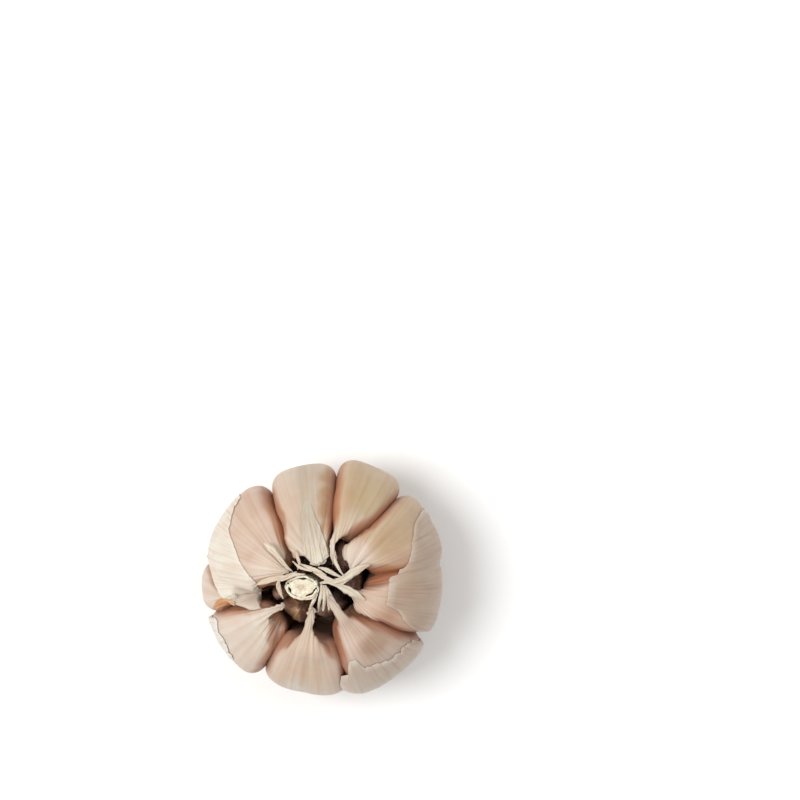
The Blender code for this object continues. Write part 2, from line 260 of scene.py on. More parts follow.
def subdividedCopy(node, levels):
    source = nodes[node]
    piece = source.copy()
    piece.data = source.data.copy()
    piece.name = node + "_skin"
    piece.parent = None
    for key in list(piece.keys()):
        del piece[key]
    bpy.context.scene.collection.objects.link(piece)
    activate(piece)
    bpy.ops.object.mode_set(mode="EDIT")
    bpy.ops.mesh.select_all(action="SELECT")
    bpy.ops.mesh.remove_doubles(threshold=0.00001)
    widest = math.radians(60)
    bpy.ops.mesh.tris_convert_to_quads(face_threshold=widest, shape_threshold=widest)
    bpy.ops.mesh.normals_make_consistent(inside=False)
    bpy.ops.object.mode_set(mode="OBJECT")
    applyModifier(piece, "SUBSURF", levels=levels, render_levels=levels)
    bpy.ops.object.shade_smooth()
    return piece


def cloveFrame(points):
    # base and tip of the clove, with how far along and how far round each point is
    base = points[points[:, 2] < points[:, 2].min() + 1.5].mean(axis=0)
    radius = np.hypot(points[:, 0], points[:, 1])
    high = points[:, 2] > points[:, 2].max() - 3.5
    tip = points[high][np.argsort(radius[high])[:40]].mean(axis=0)
    axis = tip - base
    length = np.linalg.norm(axis)
    axis = axis / length
    along = (points - base) @ axis / length
    middle = points.mean(axis=0)
    outward = middle - base - axis * ((middle - base) @ axis)
    outward /= np.linalg.norm(outward)
    side = np.cross(axis, outward)
    offset = points - base
    turn = np.arctan2(offset @ side, offset @ outward)
    return along, turn


def makeClove(node, look, levels):
    piece = subdividedCopy(node, levels)
    points = readPoints(piece)
    normals = readNormals(piece)
    along, turn = cloveFrame(points)
    seed = sum(ord(c) for c in node) * 0.37
    ring = np.stack([np.cos(turn), np.sin(turn), along], axis=1)
    pleats = noiseAt(ring * [9, 9, 0.8], seed) + 0.5 * noiseAt(ring * [20, 20, 1.6], seed + 3)
    facets = noiseAt(ring * [2.2, 2.2, 0.7], seed + 7)
    gathered = smoothStep(0.62, 0.95, along) + 0.6 * smoothStep(0.25, 0.0, along) + 0.10
    dents = noiseAt(points * 0.16, seed + 11)
    move = look["wrinkle"] * pleats * gathered + 0.45 * facets + 0.25 * dents
    plump = cloveLook["plump"] * smoothStep(0.97, 0.7, along)
    points = points + normals * (move + plump)[:, None]
    points[:, 2] = np.maximum(points[:, 2], 1.2)
    writePoints(piece, points)
    setAttribute(piece, "veins", "FLOAT_VECTOR", ring * [14, 14, 1.1] + seed)
    # colour: base, darker brown where the normal looks along the ring towards a neighbour, and where it faces
    # inward below 36 mm; this brown is partly the clove's own browner side skin and partly painted shade
    # between the cloves
    azimuth = np.arctan2(points[:, 1], points[:, 0])
    around = np.stack([-np.sin(azimuth), np.cos(azimuth), 0 * azimuth], axis=1)
    outwardDir = np.stack([np.cos(azimuth), np.sin(azimuth), 0 * azimuth], axis=1)
    sideways = np.abs((normals * around).sum(axis=1))
    inward = -(normals * outwardDir).sum(axis=1)
    radius = np.hypot(points[:, 0], points[:, 1])
    height = points[:, 2]
    flankBrownAndShade = smoothStep(0.42, 0.88, sideways + 0.15 * noiseAt(points * 0.3, seed))
    flankBrownAndShade = flankBrownAndShade + smoothStep(0.5, 0.95, inward) * smoothStep(36, 33, height)
    flankBrownAndShade = np.clip(flankBrownAndShade, 0, 1)[:, None]
    colour = np.array(hexColour(look["base"]))[None, :] * np.ones((len(points), 1))
    for x, y, reach, shade, strength in look["spots"]:
        uneven = min(1.4, 0.3 * reach) * noiseAt(points * 0.35, x)
        away = np.hypot(points[:, 0] - x, points[:, 1] - y) + uneven
        share = strength * smoothStep(reach * 1.25, reach * 0.35, away) * smoothStep(6, 18, height)
        colour = colour * (1 - share[:, None]) + np.array(hexColour(shade)) * share[:, None]
    flankBrownAndShadeColour = np.array(hexColour(look["flankBrownAndShade"])) * cloveLook["flankTone"]
    colour = colour * (1 - flankBrownAndShade * 0.85) + flankBrownAndShadeColour * flankBrownAndShade * 0.85
    # painted shade: the side of a clove deep in the groove next to its neighbour is darkened to the flank's
    # warm brown, standing in for the shade that falls in the groove
    deep = 0.7 * smoothStep(0.28, 0.62, sideways) * smoothStep(29, 22, radius)
    deep = (deep * smoothStep(20, 28, height))[:, None]
    colour = colour * (1 - deep) + flankBrownAndShadeColour * deep
    # dried tails bleach to cream
    bleach = cloveLook["innerTailShare"] if "inner" in node else cloveLook["tailShare"]
    tail = (smoothStep(0.88, 1.0, along) * bleach)[:, None]
    colour = colour * (1 - tail) + np.array(hexColour(cloveLook["tail"])) * tail
    colour = colour * cloveLook["tone"]
    setAttribute(piece, "paint", "FLOAT_COLOR", colour)
    piece.data.materials.clear()
    piece.data.materials.append(cloveSkin)
    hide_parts(node)
    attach(piece, "root")
    return piece


cloveLevels = 3
clovePieces = {}
for node, look in cloves.items():
    clovePieces[node] = makeClove(node, look, cloveLevels)
print("cloves made")


# Papery outer skins.

# Dry outer bulb skin: a leaf sheath thin as tissue. It gives a silky greyish white with
# fine ribs from root to neck, whiter where it is torn and curls away, partly from its thinner skin and partly
# from a painted highlight.
def makePaperySkin():
    material, tree, shader = newMaterial("dry papery bulb skin", {
        "Roughness": 0.5, "IOR": 1.42, "Sheen Weight": 0.2, "Sheen Roughness": 0.35,
        "Subsurface Weight": 0.1, "Subsurface Scale": 0.001,
    })
    painted = addNode(tree, "ShaderNodeAttribute", {"attribute_name": "paint"})
    veins = addNode(tree, "ShaderNodeAttribute", {"attribute_name": "veins"})
    where = addNode(tree, "ShaderNodeTexCoord")
    # ribs about 1 mm apart, with hair-fine ones between
    ribs = addNode(tree, "ShaderNodeTexNoise", {"Scale": 1.0, "Detail": 2.0, "Roughness": 0.5},
                   {"Vector": (veins, "Vector")})
    hairMap = addNode(tree, "ShaderNodeMapping", {"Scale": (2.6, 2.6, 1.4)},
                      {"Vector": (veins, "Vector")})
    hairs = addNode(tree, "ShaderNodeTexNoise", {"Scale": 1.0, "Detail": 2.0},
                    {"Vector": (hairMap, "Vector")})
    # warmer patches of about 9 mm
    cloud = addNode(tree, "ShaderNodeTexNoise", {"Scale": 110.0, "Detail": 3.0},
                    {"Vector": (where, "Object")})
    ribRamp = addNode(tree, "ShaderNodeValToRGB", {}, {0: (ribs, 0)}, [(0.34, 0.0), (0.5, 1.0)])
    hairRamp = addNode(tree, "ShaderNodeValToRGB", {}, {0: (hairs, 0)}, [(0.36, 0.0), (0.6, 1.0)])
    cloudRamp = addNode(tree, "ShaderNodeValToRGB", {}, {0: (cloud, 0)}, [(0.4, 0.0), (0.66, 1.0)])
    ribbed = addNode(tree, "ShaderNodeMix", {**multiply, 0: 0.27, 7: opaque("DDB8A4")},
                     {6: (painted, "Color")})
    ribMix = addNode(tree, "ShaderNodeMix", blend,
                     {0: (ribRamp, 0), 6: (ribbed, 2), 7: (painted, "Color")})
    haired = addNode(tree, "ShaderNodeMix", {**multiply, 0: 0.16, 7: opaque("CDB9A6")},
                     {6: (ribMix, 2)})
    hairMix = addNode(tree, "ShaderNodeMix", blend,
                      {0: (hairRamp, 0), 6: (haired, 2), 7: (ribMix, 2)})
    warmer = addNode(tree, "ShaderNodeMix", {**multiply, 0: 0.3, 7: opaque("EBCDBE")},
                     {6: (hairMix, 2)})
    final = addNode(tree, "ShaderNodeMix", blend,
                    {0: (cloudRamp, 0), 6: (hairMix, 2), 7: (warmer, 2)})
    tree.links.new(final.outputs[2], shader.inputs["Base Color"])
    bumpRibs = addNode(tree, "ShaderNodeBump", {"Strength": 0.28, "Distance": 0.0003},
                       {"Height": (ribs, 0)})
    bumpHairs = addNode(tree, "ShaderNodeBump", {"Strength": 0.18, "Distance": 0.00015},
                        {"Height": (hairs, 0), "Normal": (bumpRibs, 0)})
    bumpCloud = addNode(tree, "ShaderNodeBump", {"Strength": 0.12, "Distance": 0.0008},
                        {"Height": (cloud, 0), "Normal": (bumpHairs, 0)})
    tree.links.new(bumpCloud.outputs[0], shader.inputs["Normal"])
    return material


paperySkin = makePaperySkin()


def joinedTree(pieces):
    # one search tree over several pieces, in mm
    corners, faces = [], []
    for piece in pieces:
        start = len(corners)
        corners += [tuple(p) for p in readPoints(piece)]
        faces += [[start + i for i in face.vertices] for face in piece.data.polygons]
    return BVHTree.FromPolygons(corners, faces)


middleHeight = 16   # mm above the ground, where the feelers point to
farOut = 60         # mm, where they start
bulbMiddle = Vector((0, 0, middleHeight))
fieldStep = 1.5     # degrees between feelers
tilts = np.arange(-66, 81, fieldStep)
turns = np.arange(0, 360, fieldStep)


def distanceField(tree):
    # how far the outside of the cloves is from the middle, for every turn and tilt
    field = np.zeros((len(tilts), len(turns)))
    for i, tilt in enumerate(np.radians(tilts)):
        for j, turn in enumerate(np.radians(turns)):
            flat = math.cos(tilt)
            ray = Vector((math.cos(turn) * flat, math.sin(turn) * flat, math.sin(tilt)))
            hit = tree.ray_cast(bulbMiddle + ray * farOut, -ray)
            field[i, j] = farOut - hit[3] if hit[0] is not None else 8.0
    return field


def blurred(field, passes):
    for _ in range(passes):
        field = (np.roll(field, 1, 1) + 2 * field + np.roll(field, -1, 1)) / 4
        up = np.vstack([field[:1], field[:-1]])
        down = np.vstack([field[1:], field[-1:]])
        field = (up + 2 * field + down) / 4
    return field


def bridged(field, reach, passes):
    # highest of the near points on either side, then smoothed: a sheet pulled over the grooves
    high = field.copy()
    for step in range(1, reach + 1):
        high = np.maximum(high, np.maximum(np.roll(field, step, 1), np.roll(field, -step, 1)))
    return np.maximum(blurred(high, passes), blurred(field, 1) + 0.05)


def sample(field, turn, tilt):
    # bilinear look-up, angles in degrees
    column = (np.asarray(turn) % 360) / fieldStep
    row = np.clip((np.asarray(tilt) - tilts[0]) / fieldStep, 0, len(tilts) - 1.001)
    i, j = row.astype(int), column.astype(int) % len(turns)
    fi, fj = row - i, column - column.astype(int)
    k = (j + 1) % len(turns)
    low = field[i, j] * (1 - fj) + field[i, k] * fj
    high = field[i + 1, j] * (1 - fj) + field[i + 1, k] * fj
    return low * (1 - fi) + high * fi


def tiltAtReach(field, turn, reach):
    # tilt at which the sheet is this far from the axis, coming down from the top
    steps = np.arange(78, -4, -0.5)
    out = sample(field, np.full(len(steps), turn), steps) * np.cos(np.radians(steps))
    past = np.nonzero(out >= reach)[0]
    if len(past) == 0:
        return float(steps[np.argmax(out)])
    i = past[0]
    if i == 0:
        return float(steps[0])
    share = (reach - out[i - 1]) / max(out[i] - out[i - 1], 1e-6)
    return float(steps[i - 1] - 0.5 * share)


def tiltAtHeight(field, turn, height):
    # tilt at which the sheet comes down to this height
    steps = np.arange(-5, -64, -0.5)
    z = middleHeight + sample(field, np.full(len(steps), turn), steps) * np.sin(np.radians(steps))
    past = np.nonzero(z <= height)[0]
    return float(steps[past[0]]) if len(past) else -62.0


def finishSheet(piece, thickness, paint, veins, node=None, material=None):
    setAttribute(piece, "paint", "FLOAT_COLOR", paint)
    setAttribute(piece, "veins", "FLOAT_VECTOR", veins)
    applyModifier(piece, "SOLIDIFY", thickness=thickness * mm, offset=1.0)
    activate(piece)
    bpy.ops.object.shade_smooth()
    piece.data.materials.append(material or paperySkin)
    if node:
        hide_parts(node)
    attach(piece, "root")
    return piece


def newGrid(name, columns, rows):
    # a flat grid, and how far across and up each of its points is
    bpy.ops.object.select_all(action="DESELECT")
    bpy.ops.mesh.primitive_grid_add(x_subdivisions=columns, y_subdivisions=rows, size=2)
    piece = bpy.context.object
    piece.name = name
    flat = readPoints(piece) * mm
    return piece, (flat[:, 0] + 1) / 2, (flat[:, 1] + 1) / 2


# Each sheet: its torn upper edge as (x, y) seen from above, in mm, in order round the bulb;
# its lower edge the same way, or the height it reaches down to. Past the turn tuck, in
# degrees, the lower edge holds. cling is how much air is left under it, curl how far its
# torn edge lifts, ragged how deep the tears are, reach how wide a groove it bridges.
sheetLook = {"thickness": 0.08, "tone": [0.92, 0.9, 0.88], "blush": "F0D8CA"}
sheets = {
    "papery_skin_left": {
        "node": "skin_left",
        "upper": [(-20.4, 20.6), (-21.9, 18.2), (-22.8, 12.7), (-21.4, 9.3), (-19.5, 5.1),
                  (-17.3, 2.1), (-15.8, 0), (-14.8, -2.1), (-14.8, -5.2)],
        "lower": [(-15.8, 26.5), (-26, 16.5), (-29.5, 9), (-28.2, 5.2), (-26.2, -0.6),
                  (-24.6, -3.2), (-21.6, -4.9), (-16, -5.6)],
        "tuck": 165.0, "height": 3.0, "cling": 0.2, "curl": 0.1, "ragged": 0.35, "wrinkle": 0.14,
        "colour": "E9DFD2", "edge": "F0E8DC", "columns": 150, "rows": 130, "reach": 3,
    },
    # This skin's darker greyish tan and its edge colour are partly its own colour and partly painted shade on
    # the side of the bulb turned from the key light.
    "papery_skin_right": {
        "node": "skin_right",
        "upper": [(24.4, -13.4), (21.6, -10.6), (19.9, -8.7), (18.4, -6.1), (15.7, -4.7), (16.1, -2.1),
                  (16.3, 1.9), (20.1, 3.4), (21.4, 5.5), (22.0, 10.0), (22.6, 13.8), (24.2, 17.0)],
        "lower": None, "tuck": 0.0, "height": 2.6, "cling": 0.22, "curl": 0.12, "ragged": 0.4, "wrinkle": 0.2,
        "colour": "C3AE9C", "edge": "D9CABC", "columns": 170, "rows": 130, "reach": 2,
    },
    # This skin's darker greyish tan and its edge colour are partly its own colour and partly painted shade on
    # the side of the bulb turned from the key light.
    "papery_skin_lower_right": {
        "node": "skin_lower_right",
        "upper": [(4.6, -25.4), (5.9, -22.4), (6.5, -18.8), (8.5, -18.2), (10.5, -20.6),
                  (13.0, -19.6), (17.0, -18.6), (20.0, -15.8), (23.4, -13.9)],
        "lower": None, "tuck": 0.0, "height": 3.0, "cling": 0.2, "curl": 0.14, "ragged": 0.6, "wrinkle": 0.07,
        "colour": "C9B8A9", "edge": "E0D6CB", "columns": 110, "rows": 100, "reach": 3,
    },
    "papery_skin_lower_left": {
        "node": "skin_lower_left",
        "upper": [(-27.0, -8.4), (-25.6, -12.5), (-23.8, -15.6), (-22.4, -19.4)],
        "lower": None, "tuck": 0.0, "height": 4.0, "cling": 0.2, "curl": 0.12, "ragged": 0.6, "wrinkle": 0.16,
        "colour": "E9E4DB", "edge": "F3EFE8", "columns": 70, "rows": 90, "reach": 3,
    },
}


def edgeAt(line):
    # turns of a drawn edge's points, in degrees, and how far each is from the axis
    angles = np.unwrap([math.atan2(y, x) for x, y in line]) * 180 / math.pi
    reaches = [math.hypot(x, y) for x, y in line]
    if angles[0] > angles[-1]:
        angles, reaches = angles[::-1], reaches[::-1]
    return angles, np.array(reaches)


def makeSheet(name, look):
    field = bridged(cloveField, look["reach"], 2)
    piece, across, up = newGrid(name, look["columns"], look["rows"])
    seed = len(name) * 1.7
    angles, reaches = edgeAt(look["upper"])
    side = noiseAt(np.stack([up * 9, 0 * up, 0 * up], axis=1), seed)
    side = side + 0.5 * noiseAt(np.stack([up * 30, 0 * up, 0 * up], axis=1), seed)
    fray = 0.5 * look["ragged"] * side * (smoothStep(0.06, 0, across) + smoothStep(0.94, 1, across))
    turn = angles[0] + (angles[-1] - angles[0]) * across + fray
    topTilt, lowTilt = np.zeros(len(up)), np.zeros(len(up))
    columnTurns = np.round(angles[0] + (angles[-1] - angles[0]) * across, 4)
    if look["lower"]:
        lowAngles, lowReaches = edgeAt(look["lower"])
    for here in np.unique(columnTurns):
        rows = columnTurns == here
        tear = noise.noise(Vector((here * 0.35, seed, 0)))
        tear += 0.5 * noise.noise(Vector((here * 1.1, seed, 3)))
        tear += 0.25 * noise.noise(Vector((here * 3.1, seed, 6)))
        reach = np.interp(here, angles, reaches) + look["ragged"] * tear
        topTilt[rows] = tiltAtReach(field, here, reach)
        low = tiltAtHeight(field, here, look["height"] + 1.6 * abs(tear) * look["ragged"] + 1.0)
        if look["lower"] and here > look["tuck"]:
            lowReach = np.interp(here, lowAngles, lowReaches) + 0.4 * look["ragged"] * tear
            held = tiltAtReach(field, here, lowReach)
            low = low + (held - low) * float(smoothStep(look["tuck"], look["tuck"] + 5, here))
        lowTilt[rows] = low
    tilt = lowTilt + (topTilt - lowTilt) * up
    reach = sample(field, turn, tilt)
    ring = np.stack([np.cos(np.radians(turn)), np.sin(np.radians(turn)), tilt / 57.3], axis=1)
    folds = noiseAt(ring * [9, 9, 1.2], seed) + 0.5 * noiseAt(ring * [22, 22, 2.0], seed + 5)
    nearSide = np.maximum(smoothStep(0.05, 0, across), smoothStep(0.95, 1, across))
    nearEdge = np.maximum(smoothStep(0.93, 1.0, up), nearSide)
    nearFoot = smoothStep(0.08, 0.0, up)
    taper = smoothStep(0, 0.12, across) * smoothStep(1, 0.88, across)
    lift = look["curl"] * nearEdge * taper * (1 + noiseAt(ring * [14, 14, 8], seed + 9))
    lift = lift + 0.2 * nearFoot
    reach = reach + look["cling"] + look["wrinkle"] * folds + lift
    a, b = np.radians(turn), np.radians(tilt)
    points = np.stack([reach * np.cos(a) * np.cos(b), reach * np.sin(a) * np.cos(b),
                       middleHeight + reach * np.sin(b)], axis=1)
    points[:, 2] = np.maximum(points[:, 2], 1.0)
    # the torn edge clings to the cloves below it
    holdSide = np.maximum(smoothStep(0.06, 0.0, across), smoothStep(0.94, 1.0, across))
    hold = np.maximum(smoothStep(0.9, 1.0, up), holdSide)
    for i in np.nonzero(hold > 0.01)[0]:
        spot, normal, _, away = cloveTree.find_nearest(Vector(points[i]))
        if spot is not None and away < 2.6:
            points[i] += (np.array(spot + normal * 0.16) - points[i]) * hold[i]
    writePoints(piece, points)
    colour = np.array(hexColour(look["colour"]))[None, :] * np.ones((len(up), 1))
    rosy = (0.35 * smoothStep(0.1, 0.6, noiseAt(ring * [3, 3, 1.5], seed + 2)))[:, None]
    colour = colour * (1 - rosy) + colour * np.array(hexColour(sheetLook["blush"])) * rosy
    # the paler torn edges are partly the thinner skin's own whiter colour and partly a painted highlight
    # where the edge catches the light
    paleEdgeAndHighlight = (0.8 * nearEdge)[:, None]
    colour = colour * (1 - paleEdgeAndHighlight) + np.array(hexColour(look["edge"])) * paleEdgeAndHighlight
    veins = ring * [30, 30, 1.6] + seed
    return finishSheet(piece, sheetLook["thickness"], colour * sheetLook["tone"], veins, look["node"])


cloveTree = joinedTree(clovePieces.values())
cloveField = distanceField(cloveTree)
sheetPieces = {}
for name, look in sheets.items():
    sheetPieces[name] = makeSheet(name, look)
print("papery skins made")


# Dried strips and patches round the neck.

def curveThrough(stops, share):
    # smooth line through the stops at each share of its length
    stops = np.array(stops, float)
    spans = np.linalg.norm(np.diff(stops[:, :3], axis=0), axis=1)
    places = np.concatenate([[0], np.cumsum(spans)]) / spans.sum()
    ends = np.vstack([2 * stops[0] - stops[1], stops, 2 * stops[-1] - stops[-2]])
    i = np.clip(np.searchsorted(places, share, side="right") - 1, 0, len(stops) - 2)
    t = ((share - places[i]) / (places[i + 1] - places[i]))[:, None]
    a, b, c, d = ends[i], ends[i + 1], ends[i + 2], ends[i + 3]
    bow = (2 * a - 5 * b + 4 * c - d) * t ** 2
    return 0.5 * (2 * b + (c - a) * t + bow + (3 * b - a - 3 * c + d) * t ** 3)


# Patches of skin that lie on the cloves: left and right edges as (x, y), outer end first.
patches = {
    "skin_strip_top": {
        "left": [(-3.7, 22.4), (-4.9, 17.0), (-4.8, 12), (-4.4, 8.5), (-4.5, 6), (-5.2, 4.0)],
        "right": [(-3.4, 22.4), (-1.6, 17.0), (0.5, 12.5), (1.3, 9), (2.2, 6), (3.6, 2.6)],
        "colour": "C3B8A5", "tip": "DED5C4", "gap": 0.2, "pleat": 0.75, "ragged": 0.5,
    },
    "skin_flap_side": {
        "left": [(-27.2, -6.6), (-25.8, -4.3), (-23.6, -3.7), (-21.4, -4.6)],
        "right": [(-26.6, -7.2), (-25.2, -6.2), (-23.4, -5.6), (-21.2, -5.4)],
        "colour": "C79262", "tip": "D9B086", "gap": 0.5, "pleat": 0.3, "ragged": 0.3,
    },
}


patchGrid = (60, 110)


def makePatch(name, look):
    piece, across, along = newGrid(name, *patchGrid)
    seed = len(name) * 2.3
    left = curveThrough([(*p, 0) for p in look["left"]], along)
    right = curveThrough([(*p, 0) for p in look["right"]], along)
    sway = noiseAt(np.stack([along * 12, across * 0, along * 0], axis=1), seed)
    spread = across + look["ragged"] * 0.12 * sway * (np.abs(across - 0.5) * 2) ** 3
    plan = left + (right - left) * spread[:, None]
    heights = np.zeros(len(plan))
    # Over the open middle of the bulb nothing is hit and a point drops to -1, so the inner
    # end of skin_strip_top hangs down through the bulb. That is a fault still to mend.
    for i, (x, y, _) in enumerate(plan):
        hit = bulbTree.ray_cast(Vector((x, y, farOut)), Vector((0, 0, -1)))
        heights[i] = hit[0].z if hit[0] is not None else -1
    # fill small dips and smooth the rest
    columns, rows = patchGrid
    grid = (np.round(across * (columns - 1)).astype(int), np.round(along * (rows - 1)).astype(int))
    table = np.zeros(patchGrid)
    table[grid] = heights
    for _ in range(6):
        padded = np.pad(table, 1, mode="edge")
        mean = (padded[:-2, 1:-1] + padded[2:, 1:-1] + padded[1:-1, :-2] + padded[1:-1, 2:]) / 4
        table = np.maximum(mean, table * 0.5 + mean * 0.5)
    pleats = noiseAt(np.stack([across * 9, along * 1.5, 0 * along], axis=1), seed)
    pleats = pleats + 0.5 * noiseAt(np.stack([across * 22, along * 2.5, 0 * along], axis=1), seed)
    gathered = 0.15 + 0.85 * smoothStep(0.45, 1.0, along)
    loose = smoothStep(0, 0.3, along)
    lift = look["gap"] * loose + look["pleat"] * pleats * gathered * loose
    curled = smoothStep(0.12, 0, across) + smoothStep(0.88, 1, across)
    lift = lift - 0.12 + 0.18 * smoothStep(0, 0.25, along) + 0.15 * curled * smoothStep(0.1, 0.5, along)
    fray = 1.1 * noiseAt(np.stack([across * 13, 0 * along, 0 * along], axis=1), seed + 6)
    plan[:, 1] += fray * smoothStep(0.8, 1, along)
    plan[:, 2] = table[grid] + lift
    writePoints(piece, plan)
    tip = smoothStep(0.35, 0.95, along)[:, None]
    colour = np.array(hexColour(look["colour"])) * (1 - tip) + np.array(hexColour(look["tip"])) * tip
    veins = np.stack([across * 14, along * 3, 0 * along], axis=1) + seed
    return finishSheet(piece, 0.12, colour, veins)


bulbTree = joinedTree(list(clovePieces.values()) + list(sheetPieces.values()))
for name, look in patches.items():
    makePatch(name, look)

# Dried ends of skins that lie loose round the neck: stops as (x, y, z, width) in mm.
strips = {
    "strip_west": [(-15.6, 0.2, 36.6, 0.3), (-13.6, 0.9, 37.5, 1.4), (-11.4, 1.6, 38.3, 1.2),
                   (-9.0, 1.9, 39.0, 1.3), (-6.4, 2.7, 39.5, 0.8), (-3.8, 2.9, 39.4, 0.2)],
    "strip_west_b": [(-13.0, 0.6, 37.6, 0.2), (-10.6, 1.5, 38.7, 0.5), (-8.2, 2.5, 39.4, 0.5),
                     (-5.8, 3.4, 39.3, 0.2)],
    "strip_west_low": [(-10.2, 1.6, 38.4, 0.5), (-10.3, -0.2, 37.8, 1.1), (-9.8, -2.0, 37.2, 0.7),
                       (-9.2, -3.3, 36.8, 0.1)],
    "strip_bent": [(-13.6, 10.2, 38.4, 0.3), (-12.2, 9.2, 38.9, 1.7), (-10.6, 7.6, 39.1, 1.0),
                   (-8.8, 5.6, 39.0, 0.4), (-7.0, 3.6, 38.8, 0.2)],
    "strip_bent_b": [(-11.6, 8.6, 38.7, 0.2), (-10.0, 6.2, 38.8, 0.5), (-8.2, 4.4, 38.8, 0.4),
                     (-6.8, 3.4, 38.6, 0.1)],
    "strip_south_a": [(0.2, 0.4, 39.2, 0.5), (0.1, -2.0, 38.8, 0.8), (-0.4, -4.2, 38.0, 0.7),
                      (-0.7, -6.6, 36.8, 0.15)],
    "strip_south_b": [(0.7, 0.2, 39.0, 0.4), (0.9, -2.2, 38.6, 0.8), (0.8, -4.4, 37.9, 0.8),
                      (0.5, -6.2, 37.2, 0.3)],
    "strip_south_c": [(1.1, 0.2, 38.8, 0.4), (1.7, -2.2, 38.4, 0.7), (1.9, -4.3, 37.8, 0.8),
                      (2.0, -6.0, 37.2, 0.3)],
    "strip_south_d": [(-0.6, -1.2, 38.6, 0.3), (-1.5, -3.2, 38.2, 0.8), (-2.4, -5.0, 38.2, 0.6),
                      (-2.9, -6.8, 38.3, 0.15)],
    "strip_south_e": [(1.3, -0.2, 38.6, 0.3), (2.3, -2.0, 38.2, 0.5), (2.9, -4.0, 37.5, 0.5),
                      (2.8, -5.6, 36.8, 0.1)],
    "strip_east_a": [(-0.2, 0.7, 39.2, 0.4), (2.0, 0.9, 39.0, 0.9), (4.2, 0.1, 38.5, 1.1),
                     (6.8, -1.3, 38.2, 1.9), (9.0, -2.4, 37.8, 1.4), (10.6, -3.6, 37.3, 0.3)],
    "strip_east_b": [(0.8, 1.2, 39.2, 0.4), (3.0, 1.0, 38.8, 1.0), (5.6, 1.8, 38.4, 1.5),
                     (8.4, 3.5, 38.0, 1.9), (10.4, 4.5, 38.0, 1.2), (11.8, 5.0, 37.8, 0.2)],
    "strip_east_c": [(3.0, 0.4, 38.6, 0.2), (5.2, 0.6, 38.2, 0.7), (7.4, 2.2, 37.9, 0.6),
                     (9.4, 3.2, 37.8, 0.2)],
    "strip_northeast": [(3.3, 7.4, 38.9, 0.3), (3.6, 5.6, 38.9, 0.8), (4.5, 3.9, 38.7, 0.6),
                        (5.5, 2.5, 38.3, 0.15)],
    "rim_a": [(-4.8, 5.2, 38.0, 0.3), (-2.8, 4.4, 39.0, 0.9), (-0.4, 3.5, 39.3, 0.8),
              (1.4, 2.5, 38.9, 0.2)],
    "rim_b": [(-0.6, 4.6, 39.4, 0.2), (1.4, 3.9, 39.3, 1.0), (3.4, 2.8, 38.7, 0.8),
              (4.8, 2.2, 38.3, 0.2)],
    "rim_c": [(-1.8, 3.4, 38.9, 0.2), (0.2, 2.4, 39.2, 0.9), (2.2, 1.5, 39.0, 0.9),
              (4.2, 1.1, 38.4, 0.2)],
    "rim_d": [(-6.8, 5.8, 37.4, 0.2), (-5.2, 4.5, 38.5, 0.6), (-3.4, 3.9, 38.9, 0.5),
              (-2.0, 3.5, 38.8, 0.2)],
    "rim_e": [(-6.2, 8.6, 38.2, 0.2), (-5.6, 6.8, 38.4, 0.7), (-5.2, 5.2, 38.2, 0.6),
              (-5.6, 3.9, 37.6, 0.2)],
}
stripLook = {"colour": "E0D4C1", "shade": "BFA085", "thickness": 0.07, "crumple": 0.16}


def makeStrip(name, stops, look):
    piece, across, along = newGrid(name, 10, 48)
    seed = sum(ord(c) for c in name) * 0.11
    line = curveThrough(stops, along)
    ahead = curveThrough(stops, np.minimum(along + 0.02, 1))
    ahead = ahead - curveThrough(stops, np.maximum(along - 0.02, 0))
    heading = ahead[:, :3] / np.linalg.norm(ahead[:, :3], axis=1)[:, None]
    side = np.cross(heading, [0, 0, 1])
    side /= np.linalg.norm(side, axis=1)[:, None]
    rise = np.cross(side, heading)
    roll = 0.45 * noiseAt(np.stack([along * 2.2, 0 * along, 0 * along], axis=1), seed)[:, None]
    tilted = side * np.cos(roll) + rise * np.sin(roll)
    over = np.cross(tilted, heading)
    fray = 0.22 * noiseAt(np.stack([across * 0, along * 16, np.sign(across - 0.5)], axis=1), seed + 2)
    offset = (across - 0.5) * np.maximum(line[:, 3] * (1 + fray), 0.06)
    cup = -0.16 * line[:, 3] * (2 * across - 1) ** 2
    crumple = noiseAt(np.stack([across * 3, along * 7, 0 * along], axis=1), seed + 4)
    crumple = look["crumple"] * crumple
    points = line[:, :3] + tilted * offset[:, None] + over * (cup + crumple + 0.2)[:, None]
    writePoints(piece, points)
    dark = noiseAt(np.stack([across * 4, along * 3, 0 * along], axis=1), seed + 8)
    dark = smoothStep(-0.3, 0.5, dark)[:, None] * 0.5
    colour = np.array(hexColour(look["colour"])) * (1 - dark) + np.array(hexColour(look["shade"])) * dark
    veins = np.stack([across * 7, along * 2, 0 * along], axis=1) + seed
    return finishSheet(piece, look["thickness"], colour, veins)


for name, stops in strips.items():
    makeStrip(name, stops, stripLook)
print("strips and patches made")


# Cut stalk.

